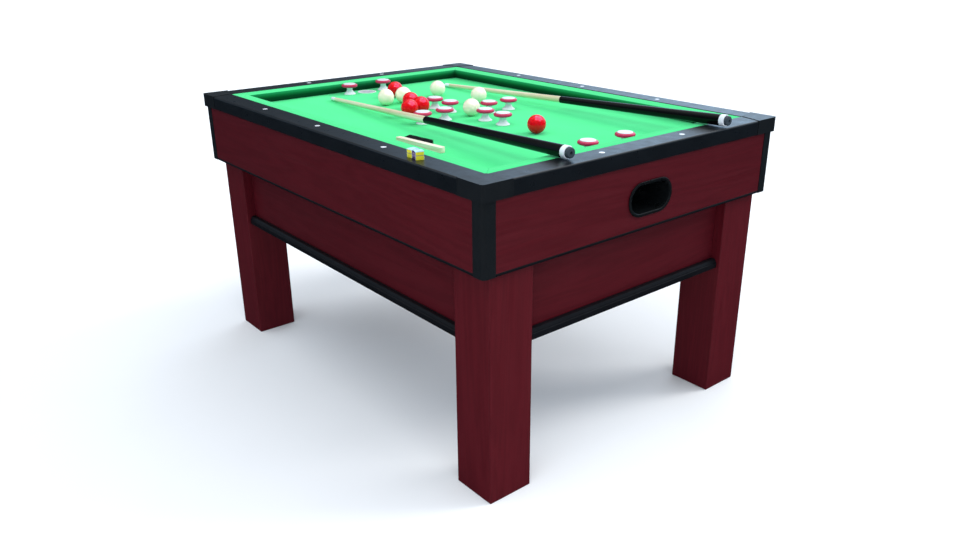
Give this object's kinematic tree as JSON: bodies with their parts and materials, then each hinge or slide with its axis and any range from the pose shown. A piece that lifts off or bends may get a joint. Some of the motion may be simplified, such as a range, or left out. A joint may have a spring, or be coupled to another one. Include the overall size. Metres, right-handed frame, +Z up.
{
  "type": "bumper pool table",
  "caption": "Bumper pool table on four square legs, with a pocket and ball return at each end, a cross of bumpers, and its balls, cues, chalk and brush.",
  "frame": {"origin": "on the floor, under the middle of the table", "axes": "+X along the table's length, toward the end where both cue butts lie; +Y across the table, away from the rail that holds the chalk; +Z up"},
  "size_m": [1.426, 1.056, 0.8467],
  "materials": {
    "mahogany_laminate": "dark red mahogany wood-grain laminate, satin",
    "black_laminate": "black laminate over board, satin",
    "black_plastic": "moulded black plastic, satin",
    "cushion_cloth": "green cloth over rubber",
    "bed_board": "board covered with green cloth",
    "white_plastic": "white moulded plastic, gloss",
    "bumper": "white moulded cap and post with a red rubber ring",
    "red_ball": "polished cast resin, red",
    "white_ball": "polished cast resin, cream white",
    "cue_wood": "lacquered pale wood shaft, black butt, white ring, rubber end",
    "chalk": "pressed blue chalk in a yellow paper wrap",
    "brush_wood": "pale wood with black bristles"
  },
  "bodies": {
    "table": {"apron_front": "mahogany_laminate", "lower_panel_front": "mahogany_laminate", "rail_front": "black_laminate", "cushion_front": "cushion_cloth", "apron_rear": "mahogany_laminate", "lower_panel_rear": "mahogany_laminate", "rail_rear": "black_laminate", "cushion_rear": "cushion_cloth", "apron_left": "mahogany_laminate", "lower_panel_left": "mahogany_laminate", "rail_left": "black_laminate", "cushion_left": "cushion_cloth", "apron_right": "mahogany_laminate", "lower_panel_right": "mahogany_laminate", "rail_right": "black_laminate", "cushion_right": "cushion_cloth", "leg_front_left": "mahogany_laminate", "corner_post_front_left": "black_plastic", "rail_corner_front_left": "black_plastic", "leg_front_right": "mahogany_laminate", "corner_post_front_right": "black_plastic", "rail_corner_front_right": "black_plastic", "leg_rear_left": "mahogany_laminate", "corner_post_rear_left": "black_plastic", "rail_corner_rear_left": "black_plastic", "leg_rear_right": "mahogany_laminate", "corner_post_rear_right": "black_plastic", "rail_corner_rear_right": "black_plastic", "bed": "bed_board", "pocket_liner_left": "white_plastic", "ball_return_left": "black_plastic", "pocket_liner_right": "white_plastic", "ball_return_right": "black_plastic", "bumper_centre_1": "bumper", "bumper_centre_2": "bumper", "bumper_centre_3": "bumper", "bumper_centre_4": "bumper", "bumper_centre_5": "bumper", "bumper_centre_6": "bumper", "bumper_centre_7": "bumper", "bumper_centre_8": "bumper", "bumper_left_1": "bumper", "bumper_left_2": "bumper", "bumper_right_1": "bumper", "bumper_right_2": "bumper"},
    "ball_red_1": {"ball_red_1": "red_ball"},
    "ball_red_2": {"ball_red_2": "red_ball"},
    "ball_red_3": {"ball_red_3": "red_ball"},
    "ball_red_4": {"ball_red_4": "red_ball"},
    "ball_red_5": {"ball_red_5": "red_ball"},
    "ball_white_1": {"ball_white_1": "white_ball"},
    "ball_white_2": {"ball_white_2": "white_ball"},
    "ball_white_3": {"ball_white_3": "white_ball"},
    "ball_white_4": {"ball_white_4": "white_ball"},
    "ball_white_5": {"ball_white_5": "white_ball"},
    "cue_1": {"cue_1": "cue_wood"},
    "cue_2": {"cue_2": "cue_wood"},
    "chalk_1": {"chalk_1": "chalk"},
    "chalk_2": {"chalk_2": "chalk"},
    "table_brush": {"table_brush": "brush_wood"}
  },
  "joints": [
    {"name": "ball_red_1_lift", "type": "slide", "parent": "table", "child": "ball_red_1", "axis": [0, 0, 1], "range_m": [0, 0.15]},
    {"name": "ball_red_2_lift", "type": "slide", "parent": "table", "child": "ball_red_2", "axis": [0, 0, 1], "range_m": [0, 0.15]},
    {"name": "ball_red_3_lift", "type": "slide", "parent": "table", "child": "ball_red_3", "axis": [0, 0, 1], "range_m": [0, 0.15]},
    {"name": "ball_red_4_lift", "type": "slide", "parent": "table", "child": "ball_red_4", "axis": [0, 0, 1], "range_m": [0, 0.15]},
    {"name": "ball_red_5_lift", "type": "slide", "parent": "table", "child": "ball_red_5", "axis": [0, 0, 1], "range_m": [0, 0.15]},
    {"name": "ball_white_1_lift", "type": "slide", "parent": "table", "child": "ball_white_1", "axis": [0, 0, 1], "range_m": [0, 0.15]},
    {"name": "ball_white_2_lift", "type": "slide", "parent": "table", "child": "ball_white_2", "axis": [0, 0, 1], "range_m": [0, 0.15]},
    {"name": "ball_white_3_lift", "type": "slide", "parent": "table", "child": "ball_white_3", "axis": [0, 0, 1], "range_m": [0, 0.15]},
    {"name": "ball_white_4_lift", "type": "slide", "parent": "table", "child": "ball_white_4", "axis": [0, 0, 1], "range_m": [0, 0.15]},
    {"name": "ball_white_5_lift", "type": "slide", "parent": "table", "child": "ball_white_5", "axis": [0, 0, 1], "range_m": [0, 0.15]},
    {"name": "cue_1_lift", "type": "slide", "parent": "table", "child": "cue_1", "axis": [0, 0, 1], "range_m": [0, 0.25]},
    {"name": "cue_2_lift", "type": "slide", "parent": "table", "child": "cue_2", "axis": [0, 0, 1], "range_m": [0, 0.25]},
    {"name": "chalk_1_lift", "type": "slide", "parent": "table", "child": "chalk_1", "axis": [0, 0, 1], "range_m": [0, 0.15]},
    {"name": "chalk_2_lift", "type": "slide", "parent": "table", "child": "chalk_2", "axis": [0, 0, 1], "range_m": [0, 0.15]},
    {"name": "table_brush_lift", "type": "slide", "parent": "table", "child": "table_brush", "axis": [0, 0, 1], "range_m": [0, 0.15]}
  ]
}
